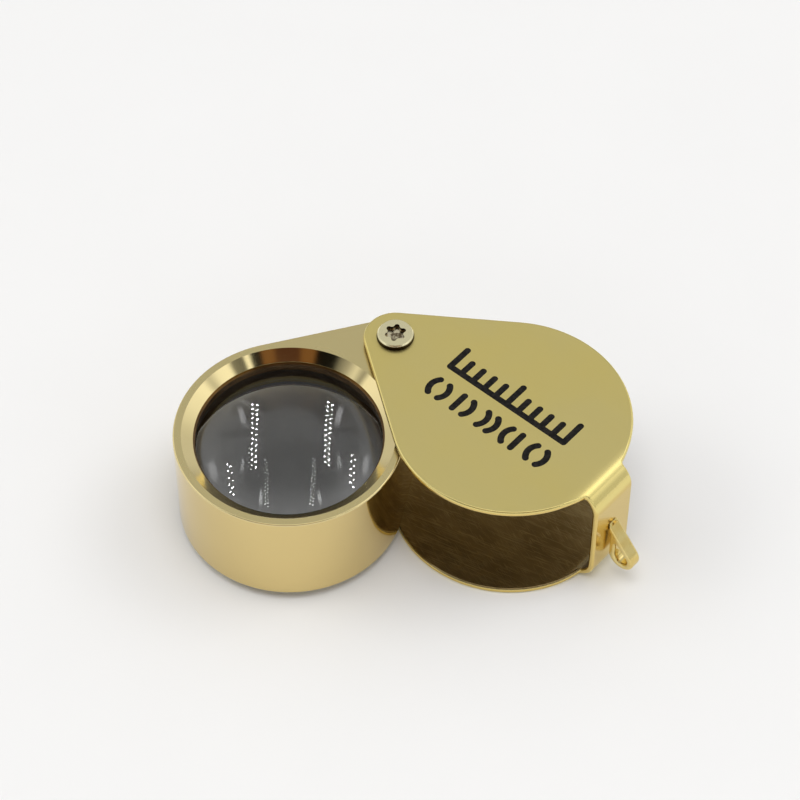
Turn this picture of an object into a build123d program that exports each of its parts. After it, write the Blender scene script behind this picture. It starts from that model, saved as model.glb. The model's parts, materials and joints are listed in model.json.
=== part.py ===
from build123d import *
import os
from math import acos, atan2, cos, degrees, radians, sin, sqrt, tau

# A folding hand lens: a thick glass triplet in a drop-shaped brass frame, which swings on a
# pivot out of a U-folded sheet cover. A small swivelling loop for a lanyard hangs on the cover.
# Millimetres. +Z is up, the cover lies flat, and the two arms open towards -Y, one on each side.
# Z is 0 at the underside of the cover.

# ---- cover and pivot -------------------------------------------------------------------------
OPEN_ANGLE = 92.0            # between the two arms, as the lens stands open
COVER_ARM = 17.0             # pivot axis to the centre of the cover's disc
COVER_RADIUS = 13.4
COVER_TIP_RADIUS = 3.6
SHEET = 0.7                  # thickness of the folded sheet
EDGE_ROUND = 0.26            # rolled edge of the sheet
STRAP_FACE = 31.7            # pivot axis to the outer face of the strap
STRAP_WIDTH = 6.2
STRAP_BEND = 3.0             # outer radius of the two folds
NECK_FILLET = 0.3

# ---- lens frame ------------------------------------------------------------------------------
LENS_ARM = 17.2              # pivot axis to the lens axis
FRAME_RADIUS = 12.8
LUG_RADIUS = 3.8
FRAME_HEIGHT = 12.8
WASHER_GAP = 0.5             # between the frame and each plate
RIM_ROUND = 0.2
MOUTH_RADIUS = 11.88         # polished cone at the front of the bore
LIP_RADIUS = 10.6
MOUTH_CONE_DEPTH = 0.92
MOUTH_DEPTH = 1.25           # down to the seat ring, under the lip at the cone's foot
SEAT_BORE_RADIUS = 11.3

# ---- glass -----------------------------------------------------------------------------------
GLASS_RADIUS = 10.9
CLEAR_RADIUS = 10.4
DOME_RISE = 2.0              # outer faces, from the edge of the clear opening to the crown
DOME_BELOW_FRAME = 0.1
FLINT_CENTRE = 1.0           # thickness of the two outer elements on the axis
CEMENTED_RADIUS = 16.0       # curvature of the two cemented faces
CELL_OUTER_RADIUS = 11.27
CELL_INNER_RADIUS = 10.92
SEAT_RING_OUTER_RADIUS = 11.27
REAR_RING_RECESS = 0.15
REAR_RING_MOUTH_RADIUS = 11.05
REAR_CONE_DEPTH = 0.7
SPANNER_NOTCH = (1.6, 0.7)   # width across, depth into the ring

# ---- pivot post, screw and washers -----------------------------------------------------------
POST_RADIUS = 2.0
PIVOT_FIT = 0.05             # radial running clearance on the post
POST_SPIGOT_RADIUS = 1.6
TAP_RUNOUT = 0.5             # tapped hole beyond the end of the screw
SCREW_HEAD_RADIUS = 2.05
SCREW_HEAD_HEIGHT = 0.65
SCREW_HEAD_CHAMFER = 0.16
SCREW_SHANK_RADIUS = 1.2
SCREW_HOLE_FIT = 0.1         # radial clearance in the top plate
THREAD_FIT = 0.01
SCREW_LENGTH = 7.0           # under the head
RECESS_RADIUS = 1.24         # six-lobed recess
RECESS_CORE_RADIUS = 1.0
RECESS_LOBE_RADIUS = 0.3
RECESS_FLUTE_RADIUS = 0.34   # the hollows between the lobes
RECESS_DEPTH = 0.5
WASHER_RADIUS = 3.2
WASHER_CLEARANCE = 0.02
SPRING_WASHER_SHEET = 0.16

# ---- lanyard loop ----------------------------------------------------------------------------
LOOP_WIDTH = 1.55
LOOP_BAND = 0.8              # thickness of the bent bar
LOOP_GAP = 0.3               # clearance between the inner leg and the strap
LOOP_BEND_RADIUS = 1.65      # outside of the lower bend
LOOP_BEND_HEIGHT = 3.95      # level of the lower bend's centre
LOOP_SLOPE = 40.0            # lean of the outer leg from the upright, in degrees
LOOP_EDGE_ROUND = 0.3
LOOP_EYE_ROUND = 0.25        # top corner of the eye
LOOP_SHANK_RADIUS = 0.5
LOOP_SHANK_ROOT = 0.4        # length of the shank inside the loop
LOOP_FIT = 0.05              # radial and axial running clearance
LOOP_HEAD_RADIUS = 1.0
LOOP_HEAD_THICKNESS = 0.3

# ---- marking on the top plate ----------------------------------------------------------------
STROKE = 0.75
MARK_DEPTH = 0.18
ENAMEL_DROP = 0.02           # the enamel lies this far below the plate
MARK_CENTRE = 15.6           # along the arm, from the pivot
MARK_LENGTH = 17.0
SCALE_BASE = 0.75            # across the arm
SCALE_LONG_TICK = 3.0
SCALE_SHORT_TICK = 1.9
SCALE_STEPS = 10
LENS_ROW_CENTRE = -2.5       # across the arm
LENS_SIGN_HEIGHT = 2.2
LENS_SIGN_BULGE = 0.45
LENS_SIGN_GAP = 1.35

# ---- levels and places worked out from the sizes above ---------------------------------------
FRAME_BOTTOM = SHEET + WASHER_GAP
FRAME_TOP = FRAME_BOTTOM + FRAME_HEIGHT
COVER_HEIGHT = FRAME_TOP + WASHER_GAP + SHEET
STRAP_INNER_FACE = STRAP_FACE - SHEET
LUG_BORE_RADIUS = POST_RADIUS + PIVOT_FIT
COVER_ANGLE = -90 + OPEN_ANGLE / 2
LENS_ANGLE = -90 - OPEN_ANGLE / 2
COS_ARM = cos(radians(COVER_ANGLE))
SIN_ARM = -sin(radians(COVER_ANGLE))
LOOP_REACH = STRAP_FACE + LOOP_GAP + 2 * LOOP_BEND_RADIUS
LOOP_CORNER_LOSS = LOOP_EDGE_ROUND * (COS_ARM + SIN_ARM - 1)
REACH_RIGHT = LOOP_REACH * COS_ARM + LOOP_WIDTH / 2 * SIN_ARM - LOOP_CORNER_LOSS
REACH_LEFT = LENS_ARM * COS_ARM + FRAME_RADIUS
REACH_DOWN = COVER_ARM * SIN_ARM + COVER_RADIUS
PIVOT_X = (REACH_LEFT - REACH_RIGHT) / 2
PIVOT_Y = (REACH_DOWN - LUG_RADIUS) / 2
DOME_TOP = FRAME_TOP - DOME_BELOW_FRAME
DOME_BOTTOM = FRAME_BOTTOM + DOME_BELOW_FRAME
SEAT_TOP = DOME_TOP - DOME_RISE
SEAT_BOTTOM = DOME_BOTTOM + DOME_RISE

cover_arm = Location((PIVOT_X, PIVOT_Y, 0), (0, 0, COVER_ANGLE))
lens_arm = Location((PIVOT_X, PIVOT_Y, 0), (0, 0, LENS_ANGLE))


# ---- shared shapes ---------------------------------------------------------------------------
def drop_outline(small_radius, big_radius, distance):
    """A small circle at the origin and a big one on +X, joined by their two outer tangents."""
    turn = acos((small_radius - big_radius) / distance)
    side = Vector(cos(turn), sin(turn))
    other = Vector(cos(turn), -sin(turn))
    big_centre = Vector(distance, 0)
    small_ends = [side * small_radius, other * small_radius]
    big_ends = [big_centre + side * big_radius, big_centre + other * big_radius]
    edges = [
        ThreePointArc(small_ends[0], (-small_radius, 0), small_ends[1]),
        Line(small_ends[1], big_ends[1]),
        ThreePointArc(big_ends[1], (distance + big_radius, 0), big_ends[0]),
        Line(big_ends[0], small_ends[0]),
    ]
    return make_face(edges)


def cylinder(radius, bottom, top):
    """A plain upright cylinder on the pivot axis, between two levels."""
    return extrude(Location((0, 0, bottom)) * Circle(radius), top - bottom)


def turned(points, x=0.0):
    """A turned piece: a closed outline of (radius, level) points spun about an upright axis at x."""
    outline = Plane.XZ * make_face(Polyline(*points, close=True))
    return Location((x, 0, 0)) * revolve(outline, Axis.Z)


def ring(inner, outer, bottom, top, x=0.0):
    """A plain flat ring."""
    return turned([(inner, bottom), (outer, bottom), (outer, top), (inner, top)], x)


# ---- cover -----------------------------------------------------------------------------------
def cover_plan():
    """Outline of the cover seen from above: the drop, with the strap's neck at its far end."""
    plan = drop_outline(COVER_TIP_RADIUS, COVER_RADIUS, COVER_ARM)
    neck_length = STRAP_FACE - COVER_ARM
    plan += Location((COVER_ARM + neck_length / 2, 0)) * Rectangle(neck_length, STRAP_WIDTH)
    meets_disc = COVER_ARM + sqrt(COVER_RADIUS**2 - (STRAP_WIDTH / 2) ** 2)
    corners = [v for v in plan.vertices() if abs(v.X - meets_disc) < 0.05]
    return fillet(corners, NECK_FILLET)


def folded_band():
    """The sheet's U-shaped section, wide enough to cut the plan out of it."""
    back = -COVER_TIP_RADIUS - 1
    outside = [(back, 0), (STRAP_FACE, 0), (STRAP_FACE, COVER_HEIGHT), (back, COVER_HEIGHT)]
    inside = [
        (back, SHEET),
        (STRAP_INNER_FACE, SHEET),
        (STRAP_INNER_FACE, COVER_HEIGHT - SHEET),
        (back, COVER_HEIGHT - SHEET),
    ]
    outer = make_face(Polyline(*outside, close=True))
    inner = make_face(Polyline(*inside, close=True))
    outer = fillet([v for v in outer.vertices() if v.X > 0], STRAP_BEND)
    inner = fillet([v for v in inner.vertices() if v.X > 0], STRAP_BEND - SHEET)
    section = Plane.XZ * (outer - inner)
    return extrude(section, COVER_RADIUS + 1, both=True)


def is_rim(edge):
    """True for the edges around the sheet, which are rolled, and not for seams across it."""
    along = edge.tangent_at(0.5)
    straight = edge.geom_type == GeomType.LINE
    if straight and abs(along.Y) > 0.999:
        return False
    return not (straight and abs(along.Z) > 0.999 and edge.length < 2 * SHEET)


def make_cover():
    body = folded_band() & extrude(cover_plan(), COVER_HEIGHT)
    body = fillet(body.edges().filter_by(is_rim), EDGE_ROUND)
    body -= cylinder(POST_SPIGOT_RADIUS, -1, SHEET + 1)
    body -= cylinder(SCREW_SHANK_RADIUS + SCREW_HOLE_FIT, COVER_HEIGHT - SHEET - 1, COVER_HEIGHT + 1)
    body -= loop_axis_cylinder(LOOP_SHANK_RADIUS + LOOP_FIT, STRAP_INNER_FACE - 1, STRAP_FACE + 1)
    body -= marking(COVER_HEIGHT - MARK_DEPTH, COVER_HEIGHT + 1)
    return body


# ---- marking ---------------------------------------------------------------------------------
def stroke(start, end):
    """A straight stroke with round ends."""
    run = Vector(*end) - Vector(*start)
    middle = (Vector(*start) + Vector(*end)) / 2
    slot = SlotCenterToCenter(run.length, STROKE)
    return Location(middle, (0, 0, degrees(atan2(run.Y, run.X)))) * slot


def bow(x, bulge):
    """A curved upright stroke with round ends; bulge is how far its middle stands towards +X."""
    half = LENS_SIGN_HEIGHT / 2
    ends = [(x, LENS_ROW_CENTRE - half), (x, LENS_ROW_CENTRE + half)]
    curve = ThreePointArc(ends[0], (x + bulge, LENS_ROW_CENTRE), ends[1])
    return SlotArc(curve, STROKE)


def scale_strokes():
    """A base line with ticks, every fifth of them long."""
    start = MARK_CENTRE - MARK_LENGTH / 2 + STROKE / 2
    pitch = (MARK_LENGTH - STROKE) / SCALE_STEPS
    strokes = [stroke((start, SCALE_BASE), (start + pitch * SCALE_STEPS, SCALE_BASE))]
    for step in range(SCALE_STEPS + 1):
        x = start + pitch * step
        tick = SCALE_LONG_TICK if step % 5 == 0 else SCALE_SHORT_TICK
        strokes.append(stroke((x, SCALE_BASE), (x, SCALE_BASE + tick)))
    return [Sketch() + strokes]


def lens_signs():
    """Five section signs of simple lenses: each is two strokes, bowed or straight."""
    half = LENS_SIGN_HEIGHT / 2
    bulges = [
        (-LENS_SIGN_BULGE, LENS_SIGN_BULGE),
        (0, LENS_SIGN_BULGE),
        (LENS_SIGN_BULGE, LENS_SIGN_BULGE),
        (-LENS_SIGN_BULGE, 0),
        (-LENS_SIGN_BULGE, LENS_SIGN_BULGE),
    ]
    pitch = (MARK_LENGTH - LENS_SIGN_GAP - STROKE - 2 * LENS_SIGN_BULGE) / (len(bulges) - 1)
    signs = []
    for place, pair in enumerate(bulges):
        centre = MARK_CENTRE + pitch * (place - (len(bulges) - 1) / 2)
        for side, bulge in zip((-1, 1), pair):
            x = centre + side * LENS_SIGN_GAP / 2
            straight = stroke((x, LENS_ROW_CENTRE - half), (x, LENS_ROW_CENTRE + half))
            signs.append(bow(x, bulge) if bulge else straight)
    return signs


def marking(bottom, top):
    """Every stroke of the marking as upright solids between two levels."""
    solids = []
    for shape in scale_strokes() + lens_signs():
        solids += extrude(Location((0, 0, bottom)) * shape, top - bottom).solids()
    return solids


# ---- pivot -----------------------------------------------------------------------------------
def make_pivot_post():
    """A shouldered post, staked flush into the lower plate, tapped from above for the screw."""
    post = cylinder(POST_SPIGOT_RADIUS, 0, SHEET)
    post += cylinder(POST_RADIUS, SHEET, COVER_HEIGHT - SHEET)
    tap_bottom = COVER_HEIGHT - SCREW_LENGTH - TAP_RUNOUT
    return post - cylinder(SCREW_SHANK_RADIUS + THREAD_FIT, tap_bottom, COVER_HEIGHT)


def six_lobe():
    """The six-lobed recess: a round core with a round lobe at each sixth of a turn."""
    recess = Circle(RECESS_CORE_RADIUS)
    lobe_centre = RECESS_RADIUS - RECESS_LOBE_RADIUS
    for step in range(6):
        angle = tau * step / 6
        recess += Location((lobe_centre * cos(angle), lobe_centre * sin(angle))) * Circle(RECESS_LOBE_RADIUS)
        between = angle + tau / 12
        flute = Location((RECESS_RADIUS * cos(between), RECESS_RADIUS * sin(between)))
        recess -= flute * Circle(RECESS_FLUTE_RADIUS)
    return recess


def make_pivot_screw():
    top = COVER_HEIGHT + SCREW_HEAD_HEIGHT
    head = cylinder(SCREW_HEAD_RADIUS, COVER_HEIGHT, top)
    head = chamfer(head.edges().group_by(Axis.Z)[-1], SCREW_HEAD_CHAMFER)
    screw = head + cylinder(SCREW_SHANK_RADIUS, COVER_HEIGHT - SCREW_LENGTH, COVER_HEIGHT)
    return screw - extrude(Location((0, 0, top - RECESS_DEPTH)) * six_lobe(), 1)


def make_upper_washer():
    return ring(LUG_BORE_RADIUS, WASHER_RADIUS, FRAME_TOP + WASHER_CLEARANCE, COVER_HEIGHT - SHEET)


def make_spring_washer():
    """A dished spring washer: its outer edge presses on the plate and its inner edge on the frame."""
    low = SHEET
    high = FRAME_BOTTOM - WASHER_CLEARANCE
    return turned(
        [
            (LUG_BORE_RADIUS, high - SPRING_WASHER_SHEET),
            (WASHER_RADIUS, low),
            (WASHER_RADIUS, low + SPRING_WASHER_SHEET),
            (LUG_BORE_RADIUS, high),
        ]
    )


# ---- lens frame and what it holds ------------------------------------------------------------
def make_lens_frame():
    outline = drop_outline(LUG_RADIUS, FRAME_RADIUS, LENS_ARM)
    body = extrude(Location((0, 0, FRAME_BOTTOM)) * outline, FRAME_HEIGHT)
    rims = body.edges().group_by(Axis.Z)
    body = fillet(rims[0] + rims[-1], RIM_ROUND)
    bore = turned(
        [
            (0, FRAME_BOTTOM - 1),
            (SEAT_BORE_RADIUS, FRAME_BOTTOM - 1),
            (SEAT_BORE_RADIUS, FRAME_TOP - MOUTH_DEPTH),
            (LIP_RADIUS, FRAME_TOP - MOUTH_DEPTH),
            (LIP_RADIUS, FRAME_TOP - MOUTH_CONE_DEPTH),
            (MOUTH_RADIUS, FRAME_TOP),
            (MOUTH_RADIUS, FRAME_TOP + 1),
            (0, FRAME_TOP + 1),
        ],
        LENS_ARM,
    )
    return body - bore - cylinder(LUG_BORE_RADIUS, 0, COVER_HEIGHT)


def make_front_seat_ring():
    return ring(CLEAR_RADIUS, SEAT_RING_OUTER_RADIUS, SEAT_TOP, FRAME_TOP - MOUTH_DEPTH, LENS_ARM)


def make_lens_cell():
    return ring(CELL_INNER_RADIUS, CELL_OUTER_RADIUS, SEAT_BOTTOM, SEAT_TOP, LENS_ARM)


def make_rear_retaining_ring():
    """The threaded ring behind the glass, with a coned mouth and two notches for a spanner."""
    back = FRAME_BOTTOM + REAR_RING_RECESS
    body = turned(
        [
            (REAR_RING_MOUTH_RADIUS, back),
            (SEAT_RING_OUTER_RADIUS, back),
            (SEAT_RING_OUTER_RADIUS, SEAT_BOTTOM),
            (CLEAR_RADIUS, SEAT_BOTTOM),
            (CLEAR_RADIUS, SEAT_BOTTOM - REAR_CONE_DEPTH),
        ],
        LENS_ARM,
    )
    width, depth = SPANNER_NOTCH
    return body - Location((LENS_ARM, 0, back)) * Box(2 * SEAT_RING_OUTER_RADIUS + 1, width, 2 * depth)


def sphere_cap(crown, radius, rim, steps_out):
    """The middle and end points of a spherical face: its crown on the axis and its rim."""
    centre = crown - steps_out * radius
    half = rim / 2
    middle_level = centre + steps_out * sqrt(radius**2 - half**2)
    rim_level = centre + steps_out * sqrt(radius**2 - rim**2)
    return (0, crown), (half, middle_level), (rim, rim_level)


def glass(front, back, flat_front=False, flat_back=False):
    """A turned glass element between two faces; a flat margin runs from an outer face to the edge."""
    edges = [ThreePointArc(*front)]
    front_edge = front[-1]
    back_edge = back[-1]
    if flat_front:
        edges.append(Line(front_edge, (GLASS_RADIUS, front_edge[1])))
        front_edge = (GLASS_RADIUS, front_edge[1])
    if flat_back:
        edges.append(Line((GLASS_RADIUS, back_edge[1]), back_edge))
        back_edge = (GLASS_RADIUS, back_edge[1])
    edges += [Line(front_edge, back_edge), ThreePointArc(*reversed(back)), Line(back[0], front[0])]
    outline = Plane.XZ * make_face(edges)
    return Location((LENS_ARM, 0, 0)) * revolve(outline, Axis.Z)


DOME_CURVE = (CLEAR_RADIUS**2 + DOME_RISE**2) / (2 * DOME_RISE)
front_dome = sphere_cap(DOME_TOP, DOME_CURVE, CLEAR_RADIUS, 1)
front_joint = sphere_cap(DOME_TOP - FLINT_CENTRE, CEMENTED_RADIUS, GLASS_RADIUS, 1)
rear_joint = sphere_cap(DOME_BOTTOM + FLINT_CENTRE, CEMENTED_RADIUS, GLASS_RADIUS, -1)
rear_dome = sphere_cap(DOME_BOTTOM, DOME_CURVE, CLEAR_RADIUS, -1)


# ---- lanyard loop ----------------------------------------------------------------------------
# Its side view is drawn with x outwards from the strap's face and y upwards. Seen so, the outer leg
# leans out from the strap, the lower bend turns it back, and the inner leg hangs beside the strap.
LEG_DOWN = Vector(sin(radians(LOOP_SLOPE)), -cos(radians(LOOP_SLOPE)))
LEG_OUT = Vector(cos(radians(LOOP_SLOPE)), sin(radians(LOOP_SLOPE)))
BEND_CENTRE = Vector(LOOP_GAP + LOOP_BEND_RADIUS, LOOP_BEND_HEIGHT)


def leg_level(x, inset):
    """Level at x of the outer leg's outer face, or of the line at inset below it."""
    start = BEND_CENTRE + LEG_OUT * (LOOP_BEND_RADIUS - inset)
    return start.Y + (start.X - x) / LEG_DOWN.X * -LEG_DOWN.Y


LOOP_AXIS_HEIGHT = leg_level(0, LOOP_BAND / 2)


def bend_edges(inset):
    """The lower bend, from the outer leg round to the inner one, and its two end points."""
    radius = LOOP_BEND_RADIUS - inset
    start = BEND_CENTRE + LEG_OUT * radius
    end = BEND_CENTRE - Vector(radius, 0)
    turn = Vector(sin(radians(LOOP_SLOPE / 2)), -cos(radians(LOOP_SLOPE / 2)))
    return ThreePointArc(start, BEND_CENTRE + turn * radius, end), start, end


def loop_outline():
    """Side view of the loop, with its eye."""
    bend, start, end = bend_edges(0)
    root_top = Vector(LOOP_FIT, leg_level(LOOP_FIT, 0))
    root_bottom = Vector(LOOP_FIT, leg_level(LOOP_FIT, LOOP_BAND))
    corner = Vector(LOOP_GAP, leg_level(LOOP_GAP, LOOP_BAND))
    sides = [Line(end, corner), Line(corner, root_bottom), Line(root_bottom, root_top)]
    outside = make_face([Line(root_top, start), bend] + sides)
    eye_bend, eye_start, eye_end = bend_edges(LOOP_BAND)
    eye_top = Vector(eye_end.X, leg_level(eye_end.X, LOOP_BAND))
    eye = make_face([Line(eye_top, eye_start), eye_bend, Line(eye_end, eye_top)])
    return outside - fillet(eye.vertices().sort_by(Axis.Y)[-1:], LOOP_EYE_ROUND)


def loop_axis_cylinder(radius, start, end):
    """A cylinder on the loop's swivel axis, which runs along the arm through the strap."""
    base = Plane(origin=(start, 0, LOOP_AXIS_HEIGHT), z_dir=(1, 0, 0)) * Circle(radius)
    return extrude(base, end - start)


def make_lanyard_loop():
    """A bar bent into a loop, with a shank riveted over inside the strap so that it swivels."""
    loop = extrude(Plane.XZ * loop_outline(), LOOP_WIDTH / 2, both=True)
    side = LOOP_WIDTH / 2
    loop = fillet(loop.edges().filter_by(lambda e: abs(abs(e.center().Y) - side) < 0.01), LOOP_EDGE_ROUND)
    loop = Location((STRAP_FACE, 0, 0)) * loop
    inner_face = STRAP_INNER_FACE - LOOP_FIT
    shank = loop_axis_cylinder(LOOP_SHANK_RADIUS, inner_face, STRAP_FACE + LOOP_SHANK_ROOT)
    return loop + shank + loop_axis_cylinder(LOOP_HEAD_RADIUS, inner_face - LOOP_HEAD_THICKNESS, inner_face)


# ---- write every piece -----------------------------------------------------------------------
pieces = {
    "cover": (cover_arm, make_cover()),
    "pivot_post": (cover_arm, make_pivot_post()),
    "pivot_screw": (cover_arm, make_pivot_screw()),
    "upper_washer": (cover_arm, make_upper_washer()),
    "spring_washer": (cover_arm, make_spring_washer()),
    "marking_enamel": (cover_arm, Compound(marking(COVER_HEIGHT - MARK_DEPTH, COVER_HEIGHT - ENAMEL_DROP))),
    "lens_frame": (lens_arm, make_lens_frame()),
    "front_seat_ring": (lens_arm, make_front_seat_ring()),
    "lens_cell": (lens_arm, make_lens_cell()),
    "rear_retaining_ring": (lens_arm, make_rear_retaining_ring()),
    "front_lens": (lens_arm, glass(front_dome, front_joint, flat_front=True)),
    "middle_lens": (lens_arm, glass(front_joint, rear_joint)),
    "rear_lens": (lens_arm, glass(rear_joint, rear_dome, flat_back=True)),
    "lanyard_loop": (cover_arm, make_lanyard_loop()),
}

os.makedirs("parts", exist_ok=True)
for node, (place, shape) in pieces.items():
    export_step(place * shape, f"parts/{node}.step")
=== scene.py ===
"""Looks of a folding hand lens: gold-plated cover and lens frame, glass triplet and lanyard loop."""

import json
import math

import bmesh
import bpy
from mathutils import Matrix, Vector


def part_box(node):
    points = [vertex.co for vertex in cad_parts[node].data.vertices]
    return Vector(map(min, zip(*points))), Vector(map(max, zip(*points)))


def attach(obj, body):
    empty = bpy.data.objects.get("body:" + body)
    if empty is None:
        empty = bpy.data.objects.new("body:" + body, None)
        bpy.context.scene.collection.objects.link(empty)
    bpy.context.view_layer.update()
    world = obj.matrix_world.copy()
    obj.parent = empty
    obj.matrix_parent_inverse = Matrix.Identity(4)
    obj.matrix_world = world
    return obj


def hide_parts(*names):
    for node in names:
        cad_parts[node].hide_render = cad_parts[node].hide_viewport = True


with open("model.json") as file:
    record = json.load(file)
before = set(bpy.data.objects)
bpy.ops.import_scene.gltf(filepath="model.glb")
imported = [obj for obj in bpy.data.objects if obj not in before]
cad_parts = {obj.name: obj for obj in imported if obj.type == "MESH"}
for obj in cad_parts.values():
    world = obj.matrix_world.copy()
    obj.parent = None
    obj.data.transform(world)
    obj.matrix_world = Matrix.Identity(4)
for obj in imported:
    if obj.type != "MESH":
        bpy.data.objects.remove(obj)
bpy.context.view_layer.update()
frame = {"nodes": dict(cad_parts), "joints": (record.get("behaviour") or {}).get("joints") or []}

MM = 0.001

# ---- places read from the frame ---------------------------------------------------------------
joints = {joint["name"]: joint for joint in frame["joints"]}
PIVOT = Vector(joints["lens_swing"]["pos_m"])
LOOP_AXIS = Vector(joints["loop_swivel"]["axis"])
COVER_ANGLE = math.atan2(LOOP_AXIS.y, LOOP_AXIS.x)
LENS_AXIS = sum(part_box("lens_cell"), Vector()) / 2
FRAME_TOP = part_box("lens_frame")[1].z
SCREW_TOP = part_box("pivot_screw")[1].z
SCREW_RADIUS = (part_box("pivot_screw")[1].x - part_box("pivot_screw")[0].x) / 2
GLASS_RADIUS = (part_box("middle_lens")[1].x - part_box("middle_lens")[0].x) / 2

# ---- glass ------------------------------------------------------------------------------------
CLEAR_RADIUS = 10.4 * MM
GLASS_IOR = 1.52
GLASS_SHADOW = (0.35, 0.35, 0.35, 1)      # light that each face lets through to what lies under it
CROWN_TINT = (0.985, 1.0, 0.99, 1)
FLINT_TINT = (0.99, 1.0, 0.985, 1)
LATHE_STEPS = 256
CAP_STEPS = 48
ON_AXIS = 1e-7                     # a turned point nearer to the axis than this is one point on it
SHARP_ANGLE = math.radians(25)

# ---- camera -----------------------------------------------------------------------------------
CAMERA_AZIMUTH = math.radians(-2.9)
CAMERA_ELEVATION = math.radians(51.95)
CAMERA_DISTANCE = 317 * MM
CAMERA_LENS = 128.4
CAMERA_AIM = Vector((0.1 * MM, -8.2 * MM, 0))     # from the pivot, at the level of the frame's top

# ---- room -------------------------------------------------------------------------------------
ROOM = 0.59                        # brightness of the soft room behind the object
BRIGHT = 1.08                      # at its sides and in front
LOW_LEVEL = 0.25                   # below this height of a unit direction the room is dimmed most
HIGH_LEVEL = 0.6                   # above this one it isn't
LOW_DIMMING = 0.62
ROOM_SEEN = 0.92                   # past the floor's edge, as the camera sees it
CARD_BASE = math.radians(38)       # the dark cards in front stand between these elevations
CARD_TOP = math.radians(59)
CARD_FADE = 0.1                    # height over which their upper and lower edges fade
WINDOW = (0.57, 0.10, 0.82)        # towards the brightest patch, high on the right
WINDOW_REACH = 0.36
WINDOW_CORE = 0.1
WINDOW_GAIN = 0.45
BLACK_CARD = (0.004, 0.004, 0.004)
BROWN_CARD = (0.21, 0.10, 0.04)
DARK_BROWN_CARD = (0.09, 0.038, 0.022)

# ---- lamps ------------------------------------------------------------------------------------
LIGHT_DISTANCE = 0.9
# (name, azimuth, elevation, side, power)
LIGHTS = (
    ("soft_top", 180, 80, 0.5, 2.2),
    ("soft_left", -80, 40, 0.4, 0.8),
    ("soft_right", 80, 52, 0.4, 0.8),
)
LAMP_REACH = 0.6                   # radius of the arc over the lens on which the other lamps lie
# Rows of small lamps, each from one (aside, elevation) to another, with the pairs in the row.
BEAD_ROWS = (
    ((-0.120, 32), (-0.172, 72), 13),
    ((0.148, 32), (0.164, 72), 13),
    ((-0.290, 64), (-0.300, 84), 5),
    ((0.290, 62), (0.300, 82), 5),
)
BEAD_RADIUS = 0.0048
BEAD_SIDES = 12
BEAD_STAGGER = 0.009
BEAD_BRIGHTNESS = 60.0
# Soft narrow lamps beside the rows: (aside, lowest and highest elevation, width, brightness).
SOFT_STRIPS = (
    (-0.178, 29, 46, 0.034, 3.2),
    (0.190, 30, 49, 0.036, 3.6),
    (-0.385, 54, 74, 0.075, 2.6),
    (0.365, 56, 74, 0.055, 3.0),
)
STRIP_STEPS = 12

# ---- floor ------------------------------------------------------------------------------------
FLOOR_HALF = 2.0
FLOOR_TONES = ((0.86, 0.86, 0.855, 1), (0.88, 0.88, 0.875, 1))

# ---- colours of the finishes and of painted shade; a pair is two tones that lie in clouds or rings ---
COVER_GOLD = ((0.82, 0.68, 0.235, 1), (0.80, 0.675, 0.265, 1))
# a deeper gold: painted shade on the cover's steep faces, and one of the loop's two tones
DEEP_GOLD_AND_PAINTED_SHADE = (0.74, 0.56, 0.19, 1)
# painted shade on the insides of the cover's plates, in streaky tones
STREAKED_BRASS_PAINTED_SHADE = ((0.20, 0.138, 0.062, 1), (0.27, 0.195, 0.092, 1))
SCRATCHED_BRASS = (0.72, 0.58, 0.30, 1)
FRAME_FACE = ((0.715, 0.60, 0.29, 1), (0.74, 0.63, 0.31, 1))
FRAME_GOLD = ((0.80, 0.67, 0.34, 1), (0.83, 0.70, 0.36, 1))
# painted shade on the frame's upright walls
FRAME_WALL_PAINTED_SHADE = (0.70, 0.55, 0.245, 1)
LOOP_GOLD = ((0.78, 0.64, 0.27, 1), DEEP_GOLD_AND_PAINTED_SHADE)
PALE_GOLD = (0.90, 0.83, 0.52, 1)
# the dark tone is painted shade in patches on the screw's recess floor
RECESS_FLOOR_SHADE_PATCHES = ((0.16, 0.12, 0.07, 1), (0.80, 0.72, 0.50, 1))
# painted shade on the walls of the screw's recess
RECESS_WALL_PAINTED_SHADE = (0.30, 0.23, 0.12, 1)
# painted shade: a ring of shadow on the cover round the screw's head, and the side of the head
SCREW_PAINTED_SHADE = (0.035, 0.02, 0.007, 1)
BRONZE = ((0.21, 0.135, 0.07, 1), (0.13, 0.085, 0.045, 1))
STEEL = ((0.55, 0.55, 0.54, 1), (0.42, 0.42, 0.43, 1))
BLACKENED = ((0.006, 0.006, 0.006, 1), (0.02, 0.019, 0.018, 1))
PALE_PLASTIC = ((0.74, 0.72, 0.66, 1), (0.80, 0.78, 0.72, 1))
ENAMEL = ((0.006, 0.0055, 0.005, 1), (0.018, 0.016, 0.014, 1))
GLASS_EDGE = ((0.008, 0.009, 0.008, 1), (0.03, 0.03, 0.028, 1))

# ---- extents of the finishes and of painted shade; each pair is where it is absent and where it is full ---
LOWER_INSIDE = (3 * MM, 2 * MM)    # levels of the upward face that is the inside of the lower plate
UPPER_INSIDE = (12 * MM, 13 * MM)  # and of the downward one that is the inside of the upper plate
# edge of the painted shadow ring round the screw's head
SHADOW_RING_EDGE = (SCREW_RADIUS + 0.14 * MM, SCREW_RADIUS + 0.02 * MM)
RECESS_DEPTH = (SCREW_TOP - 0.25 * MM, SCREW_TOP - 0.48 * MM)
RECESS_EDGE = (0.8 * SCREW_RADIUS, 0.7 * SCREW_RADIUS)


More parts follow.
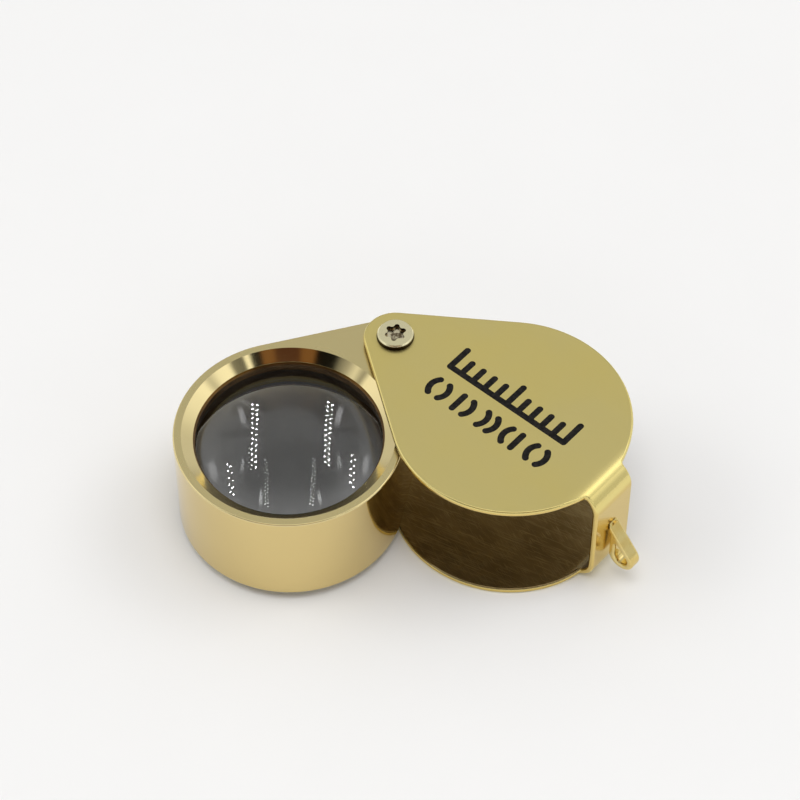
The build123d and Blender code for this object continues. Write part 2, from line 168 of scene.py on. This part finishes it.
# ---- material helpers -------------------------------------------------------------------------
class Nodes:
    """A node tree as it is put together."""

    def __init__(self, tree):
        self.tree = tree

    def node(self, kind, inputs=None, **settings):
        """A new node. inputs maps a socket's name or number to a value or to another socket."""
        made = self.tree.nodes.new("ShaderNode" + kind)
        for key, value in settings.items():
            setattr(made, key, value)
        for key, value in (inputs or {}).items():
            self.put(made.inputs[key], value)
        return made

    def put(self, socket, value):
        """Sets a socket to a value, or links another socket to it."""
        if isinstance(value, bpy.types.NodeSocket):
            self.tree.links.new(value, socket)
        else:
            socket.default_value = value

    def math(self, operation, first, second=0.0):
        return self.node("Math", {0: first, 1: second}, operation=operation).outputs[0]

    def ramp(self, value, low, high, to_low=0.0, to_high=1.0):
        """value mapped smoothly from the range low..high to to_low..to_high, and held outside it."""
        inputs = {"Value": value, 1: low, 2: high, 3: to_low, 4: to_high}
        return self.node("MapRange", inputs, interpolation_type="SMOOTHSTEP").outputs["Result"]

    def blend(self, factor, first, second):
        """One colour or the other by factor."""
        return self.node("Mix", {"Factor": factor, 6: first, 7: second}, data_type="RGBA").outputs[2]

    def apart(self, vector):
        """The three parts of a vector."""
        return self.node("SeparateXYZ", {0: vector}).outputs

    def stops(self, factor, colours):
        """A colour by factor, from a list of (place, colour)."""
        made = self.node("ValToRGB", {0: factor})
        elements = made.color_ramp.elements
        while len(elements) < len(colours):
            elements.new(0.5)
        for element, (place, colour) in zip(elements, colours):
            element.position = place
            element.color = (*colour, 1)
        return made.outputs[0]


class Shader(Nodes):
    """A material's nodes."""

    def __init__(self, name):
        self.material = bpy.data.materials.new(name)
        self.material.use_nodes = True
        super().__init__(self.material.node_tree)
        self.surface = self.tree.nodes["Principled BSDF"]

    def set(self, **values):
        """Sets sockets of the surface; an underscore stands for a space."""
        for key, value in values.items():
            self.put(self.surface.inputs[key.replace("_", " ")], value)

    def show(self, closure):
        """Puts another shader in place of the plain surface."""
        self.put(self.tree.nodes["Material Output"].inputs["Surface"], closure)

    def place(self, origin=(0, 0, 0), angle=0.0):
        """The object's own coordinates, from origin and with +X turned to angle."""
        seat = self.node("TexCoord").outputs["Object"]
        moved = self.node("VectorMath", {0: seat, 1: tuple(origin)}, operation="SUBTRACT").outputs[0]
        return self.node("Mapping", {"Vector": moved, "Rotation": (0, 0, -angle)}).outputs["Vector"]

    def facing_up(self):
        """How far the surface faces up in the object's own axes, from -1 to 1."""
        return self.apart(self.node("TexCoord").outputs["Normal"])[2]

    def height(self):
        """The level above the floor."""
        return self.apart(self.node("TexCoord").outputs["Object"])[2]

    def radius(self, vector):
        """Distance from the upright axis through the origin of vector."""
        x, y, _ = self.apart(vector)
        return self.math("SQRT", self.math("ADD", self.math("POWER", x, 2.0), self.math("POWER", y, 2.0)))

    def noise(self, vector, scale, detail=2.0, roughness=0.5):
        """Noise with its own scale along each axis, per metre."""
        spread = self.node("Mapping", {"Vector": vector, "Scale": scale}).outputs["Vector"]
        settings = {"Vector": spread, "Scale": 1.0, "Detail": detail, "Roughness": roughness}
        return self.node("TexNoise", settings).outputs["Fac"]

    def lines(self, value, scale, detail=2.0):
        """Noise along one value only, which makes rings or bands; scale is per metre."""
        settings = {"W": self.math("MULTIPLY", value, scale), "Detail": detail}
        return self.node("TexNoise", settings, noise_dimensions="1D").outputs["Fac"]

    def scratches(self, vector, angle, amount, pitch, length):
        """Sparse fine scratches along one direction: 1 on a scratch and 0 off it."""
        turned = self.node("Mapping", {"Vector": vector, "Rotation": (0, 0, -angle)}).outputs["Vector"]
        lines = self.noise(turned, (1 / length, 1 / pitch, 1 / pitch), detail=0.0)
        return self.ramp(lines, 1 - amount, 1 - amount + 0.05)

    def bump(self, height, distance):
        return self.node("Bump", {"Height": height, "Distance": distance, "Strength": 1.0}).outputs["Normal"]

    def tones(self, noise, pair, low=0.3, high=0.7):
        """One or the other of a pair of colours, by noise."""
        return self.blend(self.ramp(noise, low, high), *pair)

    def grain(self, noise, roughness, relief):
        """Roughness between two values, and a relief of a few thousandths of a millimetre, by noise."""
        self.set(Roughness=self.ramp(noise, 0.3, 0.7, *roughness), Normal=self.bump(noise, relief * MM))


# ---- materials --------------------------------------------------------------------------------
def satin_gold():
    """The cover: brushed along the arm, bright on its rolled edges, scratched inside.

    Painted shade darkens its insides and its steep faces, and a ring of painted shadow lies round the screw's
    head.
    """
    s = Shader("satin_gold")
    seat = s.place(PIVOT, COVER_ANGLE)
    up = s.facing_up()
    steep = s.math("ABSOLUTE", up)
    level = s.height()
    flat = s.ramp(steep, 0.93, 0.995)
    low_floor = s.math("MULTIPLY", s.ramp(up, 0.4, 0.6), s.ramp(level, *LOWER_INSIDE))
    high_roof = s.math("MULTIPLY", s.ramp(up, -0.4, -0.6), s.ramp(level, *UPPER_INSIDE))
    inside = s.math("MAXIMUM", low_floor, high_roof)
    brushed = s.noise(seat, (90, 9000, 9000), detail=3.0, roughness=0.65)
    cloud = s.noise(seat, (75, 75, 75), detail=3.0)
    streak = s.noise(seat, (240, 480, 480), detail=2.0)
    along = s.scratches(seat, math.radians(14), 0.36, 0.07 * MM, 2.2 * MM)
    across = s.scratches(seat, math.radians(-19), 0.35, 0.06 * MM, 1.6 * MM)
    scored = s.math("MULTIPLY", inside, s.math("MAXIMUM", along, across))
    # steep faces take a deeper gold, which is painted shade
    tone = s.blend(s.ramp(steep, 0.35, 0.1), s.tones(cloud, COVER_GOLD), DEEP_GOLD_AND_PAINTED_SHADE)
    # the insides of the plates are darkened with painted shade
    tone = s.blend(s.math("MULTIPLY", inside, 0.94), tone, s.tones(streak, STREAKED_BRASS_PAINTED_SHADE))
    tone = s.blend(s.math("MULTIPLY", scored, 0.31), tone, SCRATCHED_BRASS)
    # a ring of painted shadow round the screw's head
    shadow_ring = s.ramp(s.radius(seat), *SHADOW_RING_EDGE)
    tone = s.blend(s.math("MULTIPLY", shadow_ring, 0.92), tone, SCREW_PAINTED_SHADE)
    rough = s.ramp(flat, 0, 1, 0.16, 0.33)
    rough = s.math("ADD", rough, s.ramp(brushed, 0.3, 0.7, -0.03, 0.04))
    relief = s.math("ADD", s.math("MULTIPLY", brushed, flat), s.math("MULTIPLY", scored, -1.5))
    s.set(Base_Color=tone, Metallic=1.0, Roughness=rough, Normal=s.bump(relief, 0.0016 * MM))
    return s.material


def frame_gold():
    """The lens frame: finely turned on its two faces, mirror-bright in the mouth and round the wall, with a
    deeper gold painted on the wall as shade.
    """
    s = Shader("frame_gold")
    seat = s.place(LENS_AXIS)
    steep = s.math("ABSOLUTE", s.facing_up())
    flat = s.ramp(steep, 0.97, 0.999)
    rings = s.lines(s.radius(seat), 6000.0)
    drawn = s.lines(s.height(), 5200.0, detail=3.0)
    cloud = s.noise(seat, (160, 160, 160), detail=3.0)
    wall = s.math("MULTIPLY", drawn, s.math("SUBTRACT", 0.5, flat))
    # the walls take a deeper gold, which is painted shade
    tone = s.blend(s.ramp(steep, 0.3, 0.1), s.tones(cloud, FRAME_GOLD), FRAME_WALL_PAINTED_SHADE)
    tone = s.blend(flat, tone, s.tones(rings, FRAME_FACE))
    rough = s.math("ADD", s.ramp(flat, 0, 1, 0.075, 0.26), s.ramp(cloud, 0.35, 0.7, -0.015, 0.03))
    relief = s.math("ADD", s.math("MULTIPLY", rings, flat), wall)
    s.set(Base_Color=tone, Metallic=1.0, Roughness=rough, Normal=s.bump(relief, 0.0006 * MM))
    return s.material


def screw_gold():
    """The pivot screw: a pale turned face, a recess with patches of painted shade on its floor and painted
    shade on its walls, and painted shade on the side of its head.
    """
    s = Shader("screw_gold")
    seat = s.place(PIVOT)
    far = s.radius(seat)
    rings = s.lines(far, 9000.0)
    patch = s.noise(seat, (1500, 1500, 1500))
    deep = s.math("MULTIPLY", s.ramp(s.height(), *RECESS_DEPTH), s.ramp(far, *RECESS_EDGE))
    wall = s.ramp(s.math("ABSOLUTE", s.facing_up()), 0.35, 0.1)
    # the recess: patches of painted shade on its floor and painted shade on its walls
    recess = s.blend(wall, s.tones(patch, RECESS_FLOOR_SHADE_PATCHES, 0.42, 0.58), RECESS_WALL_PAINTED_SHADE)
    # the side of the head is painted shade
    tone = s.blend(deep, s.blend(wall, PALE_GOLD, SCREW_PAINTED_SHADE), recess)
    s.set(Base_Color=tone, Metallic=1.0)
    s.grain(rings, (0.17, 0.25), 0.0012)
    return s.material


def loop_gold():
    """The lanyard loop: a bent bright bar with faint drawing lines along it."""
    s = Shader("loop_gold")
    seat = s.place(PIVOT, COVER_ANGLE)
    s.set(Base_Color=s.tones(s.noise(seat, (700, 700, 700)), LOOP_GOLD), Metallic=1.0)
    s.grain(s.noise(seat, (300, 12000, 300)), (0.15, 0.24), 0.001)
    return s.material


def browned_ring():
    """The seat ring and the retaining ring: browned, finely turned metal."""
    s = Shader("browned_ring")
    cloud = s.noise(s.place(LENS_AXIS), (350, 350, 350), detail=3.0)
    s.set(Base_Color=s.tones(cloud, BRONZE), Metallic=1.0)
    s.grain(s.lines(s.height(), 9000.0), (0.26, 0.38), 0.001)
    return s.material


def black_cell():
    """The blackened tube round the glass."""
    s = Shader("black_cell")
    grain = s.noise(s.place(LENS_AXIS), (9000, 9000, 9000))
    s.set(Base_Color=s.blend(grain, *BLACKENED))
    s.grain(grain, (0.45, 0.7), 0.002)
    return s.material


def spring_steel():
    """The spring washer: turned steel."""
    s = Shader("spring_steel")
    rings = s.lines(s.radius(s.place(PIVOT)), 9000.0)
    s.set(Base_Color=s.blend(rings, *STEEL), Metallic=1.0)
    s.grain(rings, (0.22, 0.36), 0.001)
    return s.material


def bearing_plastic():
    """The flat washer: pale moulded plastic with a fine grain."""
    s = Shader("bearing_plastic")
    grain = s.noise(s.place(PIVOT), (4000, 4000, 4000))
    s.set(Base_Color=s.blend(grain, *PALE_PLASTIC))
    s.grain(grain, (0.45, 0.58), 0.002)
    return s.material


def black_enamel():
    """Fill of the engraved strokes: nearly black, a little glossy, slightly uneven."""
    s = Shader("black_enamel")
    grain = s.noise(s.place(PIVOT, COVER_ANGLE), (2600, 2600, 2600), detail=3.0)
    s.set(Base_Color=s.tones(grain, ENAMEL, 0.35, 0.7), Specular_IOR_Level=0.12)
    s.grain(grain, (0.38, 0.55), 0.006)
    return s.material


def glass(name, tint):
    """Polished glass, which lets light through to what is under it, with a trace of smears on its face."""
    s = Shader(name)
    smear = s.noise(s.place(LENS_AXIS), (220, 320, 220), detail=4.0, roughness=0.6)
    s.set(Base_Color=tint, IOR=GLASS_IOR, Transmission_Weight=1.0)
    s.set(Roughness=s.ramp(smear, 0.45, 0.75, 0.0, 0.012))
    path = s.node("LightPath").outputs
    lit = s.math("MAXIMUM", path["Is Shadow Ray"], path["Is Diffuse Ray"])
    clear = s.node("BsdfTransparent", {"Color": GLASS_SHADOW}).outputs[0]
    s.show(s.node("MixShader", {0: lit, 1: s.surface.outputs[0], 2: clear}).outputs[0])
    return s.material


def cemented_face():
    """The joint between two cemented elements, which can't be seen."""
    s = Shader("cemented_face")
    s.set(Base_Color=(1, 1, 1, 1), Alpha=0.0, Roughness=0.0)
    return s.material


def blackened_edge():
    """The ground and blackened edge of a glass element."""
    s = Shader("blackened_edge")
    grain = s.noise(s.place(LENS_AXIS), (6000, 6000, 6000))
    s.set(Base_Color=s.blend(grain, *GLASS_EDGE), Roughness=0.6)
    return s.material


# ---- mesh helpers -----------------------------------------------------------------------------
def new_object(name, mesh, materials):
    """An object in the scene from a bmesh, which is then freed."""
    data = bpy.data.meshes.new(name)
    mesh.to_mesh(data)
    mesh.free()
    for material in materials:
        data.materials.append(material)
    made = bpy.data.objects.new(name, data)
    bpy.context.scene.collection.objects.link(made)
    return made


def cap_profile(crown, rim_level, rim_radius):
    """Points (radius, level) from the crown on the axis out to the rim of a spherical face."""
    rise = crown - rim_level
    radius = (rim_radius**2 + rise**2) / (2 * abs(rise))
    reach = math.asin(rim_radius / radius)
    sign = math.copysign(1, rise)
    points = []
    for step in range(CAP_STEPS + 1):
        angle = reach * step / CAP_STEPS
        points.append((radius * math.sin(angle), crown - sign * radius * (1 - math.cos(angle))))
    return points


def bridge(mesh, inner, outer, number):
    """Faces between two rings of points, either of which may be a single point on the axis."""
    for k in range(LATHE_STEPS):
        after = (k + 1) % LATHE_STEPS
        corners = [inner[0]] if len(inner) == 1 else [inner[k], inner[after]]
        corners += [outer[0]] if len(outer) == 1 else [outer[after], outer[k]]
        mesh.faces.new(corners).material_index = number


def lathe(name, runs, materials):
    """A turned piece round the lens axis.

    runs is a list of (points, material number), each joined to the next.
    """
    mesh = bmesh.new()
    middle = Vector((LENS_AXIS.x, LENS_AXIS.y, 0))
    turns = [Matrix.Rotation(math.tau * k / LATHE_STEPS, 3, "Z") for k in range(LATHE_STEPS)]
    previous = None
    for points, number in runs:
        for radius, level in points:
            if radius < ON_AXIS:
                ring = [mesh.verts.new(middle + Vector((0, 0, level)))]
            else:
                start = Vector((radius, 0, level))
                ring = [mesh.verts.new(middle + turn @ start) for turn in turns]
            if previous is not None:
                bridge(mesh, previous, ring, number)
            previous = ring
    bmesh.ops.recalc_face_normals(mesh, faces=mesh.faces)
    piece = new_object(name, mesh, materials)
    piece.data.shade_smooth()
    piece.data.set_sharp_from_angle(angle=SHARP_ANGLE)
    return piece


# ---- glass elements ---------------------------------------------------------------------------
def levels(node):
    """A node's lowest and highest level."""
    return [corner.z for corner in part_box(node)]


def make_glass():
    """The three elements of the triplet, with smooth optical faces."""
    crown_glass = glass("crown_glass", CROWN_TINT)
    flint_glass = glass("flint_glass", FLINT_TINT)
    joint_face, edge_face = cemented_face(), blackened_edge()
    optical, joint, edge = 0, 1, 2             # numbers of the material slots
    seat_low, seat_high = levels("lens_cell")
    front_low, front_high = levels("front_lens")
    rear_low, rear_high = levels("rear_lens")
    middle_low, middle_high = levels("middle_lens")
    outer_front = cap_profile(front_high, seat_high, CLEAR_RADIUS)
    inner_front = cap_profile(middle_high, front_low, GLASS_RADIUS)
    inner_rear = cap_profile(middle_low, rear_high, GLASS_RADIUS)
    outer_rear = cap_profile(rear_low, seat_low, CLEAR_RADIUS)
    elements = {
        "front": [
            (outer_front + [(GLASS_RADIUS, seat_high)], optical),
            ([(GLASS_RADIUS, front_low)], edge),
            (inner_front[-2::-1], joint),
        ],
        "middle": [
            (inner_front, joint),
            ([(GLASS_RADIUS, rear_high)], edge),
            (inner_rear[-2::-1], joint),
        ],
        "rear": [
            (inner_rear, joint),
            ([(GLASS_RADIUS, seat_low)], edge),
            (outer_rear[::-1], optical),
        ],
    }
    pieces = []
    for place, runs in elements.items():
        body = crown_glass if place == "middle" else flint_glass
        piece = lathe(f"{place}_glass", runs, [body, joint_face, edge_face])
        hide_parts(f"{place}_lens")
        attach(piece, "lens_body")
        pieces.append(piece)
    return pieces


# ---- finish on the pieces of the frame --------------------------------------------------------
def dress_nodes():
    gold, turned, ring = satin_gold(), frame_gold(), browned_ring()
    finishes = {
        "cover": gold,
        "lens_frame": turned,
        "pivot_post": turned,
        "pivot_screw": screw_gold(),
        "lanyard_loop": loop_gold(),
        "front_seat_ring": ring,
        "rear_retaining_ring": ring,
        "lens_cell": black_cell(),
        "upper_washer": bearing_plastic(),
        "spring_washer": spring_steel(),
        "marking_enamel": black_enamel(),
    }
    for name, material in finishes.items():
        for place in frame["nodes"][name].material_slots:
            place.material = material


# ---- studio -----------------------------------------------------------------------------------
def make_floor():
    s = Shader("pale_floor")
    grain = s.noise(s.place(), (60, 60, 60), detail=3.0)
    s.set(Base_Color=s.blend(grain, *FLOOR_TONES), Roughness=0.7)
    mesh = bmesh.new()
    bmesh.ops.create_grid(mesh, x_segments=1, y_segments=1, size=FLOOR_HALF)
    floor = new_object("floor", mesh, [s.material])


def toward(azimuth, elevation):
    """A direction from the object, in degrees: azimuth 0 is away from the camera and 90 to its right."""
    a, e = math.radians(azimuth), math.radians(elevation)
    return Vector((math.sin(a) * math.cos(e), math.cos(a) * math.cos(e), math.sin(e)))


def area_light(name, direction, side, power):
    """A square soft light, which lights the dull surfaces and isn't mirrored by the shiny ones."""
    data = bpy.data.lights.new(name, "AREA")
    data.size = side
    data.energy = power
    light = bpy.data.objects.new(name, data)
    light.location = PIVOT + direction * LIGHT_DISTANCE
    light.rotation_euler = (-direction).to_track_quat("-Z", "Y").to_euler()
    light.visible_glossy = False
    light.visible_transmission = False
    bpy.context.scene.collection.objects.link(light)


def grey(level):
    return (level, level, level)


def front_cards(nodes, way):
    """The room in front by compass direction: black and brown cards, with lit gaps beside them."""
    turn = nodes.math("ARCTAN2", way[0], nodes.math("MULTIPLY", way[1], -1.0))
    factor = nodes.math("ADD", nodes.math("DIVIDE", turn, math.tau), 0.5)
    cards = [
        (-90, grey(BRIGHT)),
        (-85, grey(0.35)),
        (-78, grey(0.9)),
        (-70, grey(0.45)),
        (-61, grey(0.2)),
        (-57, BLACK_CARD),
        (-38, BLACK_CARD),
        (-33, BROWN_CARD),
        (-22, BROWN_CARD),
        (-15, DARK_BROWN_CARD),
        (9, DARK_BROWN_CARD),
        (16, BROWN_CARD),
        (26, BROWN_CARD),
        (30, BLACK_CARD),
        (40, BLACK_CARD),
        (42, grey(1.4)),
        (46, grey(1.2)),
        (48, grey(0.15)),
        (60, grey(0.25)),
        (64, grey(1.2)),
        (76, grey(1.1)),
        (84, grey(0.6)),
        (90, grey(BRIGHT)),
    ]
    return nodes.stops(factor, [(angle / 360 + 0.5, colour) for angle, colour in cards])


def off_the_cards(nodes, way):
    """1 where a direction misses the cards: behind the object, or over or under them."""
    above = nodes.ramp(way[2], math.sin(CARD_TOP), math.sin(CARD_TOP) + CARD_FADE)
    below = nodes.ramp(way[2], math.sin(CARD_BASE), math.sin(CARD_BASE) - CARD_FADE)
    behind = nodes.ramp(way[1], -0.02, 0.02)
    return nodes.math("MAXIMUM", behind, nodes.math("MAXIMUM", above, below))


def soft_room(nodes, direction, way):
    """The room's brightness: more at the sides, in front and at its window, and less low down."""
    side = nodes.ramp(nodes.math("ABSOLUTE", way[0]), 0.35, 0.65)
    front = nodes.ramp(way[1], 0.25, -0.05)
    lit = nodes.ramp(nodes.math("MAXIMUM", side, front), 0, 1, ROOM, BRIGHT)
    lit = nodes.math("MULTIPLY", lit, nodes.ramp(way[2], LOW_LEVEL, HIGH_LEVEL, LOW_DIMMING, 1.0))
    off_window = nodes.node("VectorMath", {0: direction, 1: WINDOW}, operation="DISTANCE").outputs["Value"]
    return nodes.math("ADD", lit, nodes.ramp(off_window, WINDOW_REACH, WINDOW_CORE, 0.0, WINDOW_GAIN))


def make_world():
    """A soft room with dark cards in front. What the camera sees past the floor is pale."""
    world = bpy.data.worlds.new("studio")
    world.use_nodes = True
    bpy.context.scene.world = world
    nodes = Nodes(world.node_tree)
    direction = nodes.node("TexCoord").outputs["Generated"]
    way = nodes.apart(direction)
    lit = soft_room(nodes, direction, way)
    room = nodes.blend(off_the_cards(nodes, way), front_cards(nodes, way), lit)
    seen = nodes.node("LightPath").outputs["Is Camera Ray"]
    shown = nodes.blend(seen, room, (*grey(ROOM_SEEN), 1))
    nodes.put(world.node_tree.nodes["Background"].inputs["Color"], shown)


def over_lens(aside, elevation):
    """A place on the lamps' arc, from the middle of the lens; elevation is in degrees."""
    angle = math.radians(elevation)
    return Vector((aside, LAMP_REACH * math.cos(angle), LAMP_REACH * math.sin(angle)))


def glass_lamp(name, mesh, material, lit_pieces):
    """A lamp that lights and shows in lit_pieces alone, and which the camera doesn't see."""
    lamp = new_object(name, mesh, [material])
    lamp.visible_camera = False
    lamp.light_linking.receiver_collection = lit_pieces


def make_beads(lit_pieces):
    """Rows of small round lamps high behind the lens, two abreast and staggered."""
    s = Shader("bead_glow")
    s.show(s.node("Emission", {"Strength": BEAD_BRIGHTNESS}).outputs[0])
    mesh = bmesh.new()
    for (near_aside, low), (far_aside, high), count in BEAD_ROWS:
        for number in range(2 * count):
            part = number / (2 * count)
            stagger = BEAD_STAGGER if number % 2 else -BEAD_STAGGER
            aside = near_aside + (far_aside - near_aside) * part + stagger
            spot = over_lens(aside, low + (high - low) * part)
            facing = (-spot).to_track_quat("Z", "Y").to_matrix().to_4x4()
            seat = Matrix.Translation(LENS_AXIS + spot) @ facing
            bmesh.ops.create_circle(mesh, cap_ends=True, segments=BEAD_SIDES, radius=BEAD_RADIUS, matrix=seat)
    glass_lamp("beads", mesh, s.material, lit_pieces)


def faded(nodes, place):
    """1 in the middle of the range 0..1 and 0 at its two ends."""
    return nodes.ramp(nodes.math("ABSOLUTE", nodes.math("SUBTRACT", place, 0.5)), 0.5, 0.1)


def strip_glow(brightness):
    """A dim glow, brightest in the middle of the UV map and faded towards all its edges."""
    s = Shader("strip_glow")
    across, along, _ = s.apart(s.node("TexCoord").outputs["UV"])
    fade = s.math("MULTIPLY", faded(s, across), faded(s, along))
    lamp = s.node("Emission", {"Strength": s.math("MULTIPLY", fade, brightness)}).outputs[0]
    clear = s.node("BsdfTransparent").outputs[0]
    s.show(s.node("AddShader", {0: lamp, 1: clear}).outputs[0])
    return s.material


def strip_mesh(aside, low, high, width):
    """A narrow band along the lamps' arc. Its UV map runs from 0 to 1 across it and along it."""
    mesh = bmesh.new()
    places = mesh.loops.layers.uv.new("UVMap")
    rows = []
    for step in range(STRIP_STEPS + 1):
        part = step / STRIP_STEPS
        row = []
        for side in (0, 1):
            spot = over_lens(aside + (side - 0.5) * width, low + (high - low) * part)
            row.append((mesh.verts.new(LENS_AXIS + spot), (side, part)))
        rows.append(row)
    for before, after in zip(rows, rows[1:]):
        corners = before + after[::-1]
        face = mesh.faces.new([corner for corner, place in corners])
        for loop, (corner, place) in zip(face.loops, corners):
            loop[places].uv = place
    return mesh


def make_soft_strips(lit_pieces):
    """Dim soft lamps beside the rows of beads."""
    for aside, low, high, width, brightness in SOFT_STRIPS:
        mesh = strip_mesh(aside, low, high, width)
        glass_lamp("soft_strip", mesh, strip_glow(brightness), lit_pieces)


def make_camera():
    data = bpy.data.cameras.new("camera")
    data.sensor_width = 36
    data.lens = CAMERA_LENS
    data.clip_start = 0.01
    camera = bpy.data.objects.new("camera", data)
    aim = Vector((PIVOT.x, PIVOT.y, FRAME_TOP)) + CAMERA_AIM
    flat = math.cos(CAMERA_ELEVATION)
    sideways, forwards = math.sin(CAMERA_AZIMUTH) * flat, math.cos(CAMERA_AZIMUTH) * flat
    back = Vector((sideways, -forwards, math.sin(CAMERA_ELEVATION)))
    camera.location = aim + back * CAMERA_DISTANCE
    camera.rotation_euler = (-back).to_track_quat("-Z", "Y").to_euler()
    bpy.context.scene.collection.objects.link(camera)
    bpy.context.scene.camera = camera


def make_studio(glass_pieces):
    make_world()
    make_floor()
    for name, azimuth, elevation, side, power in LIGHTS:
        area_light(name, toward(azimuth, elevation), side, power)
    glasses = bpy.data.collections.new("glasses")
    for piece in glass_pieces:
        glasses.objects.link(piece)
    make_beads(glasses)
    make_soft_strips(glasses)
    make_camera()
    view = bpy.context.scene.view_settings
    view.view_transform = "Standard"
    view.look = "None"


glass_pieces = make_glass()
dress_nodes()
make_studio(glass_pieces)
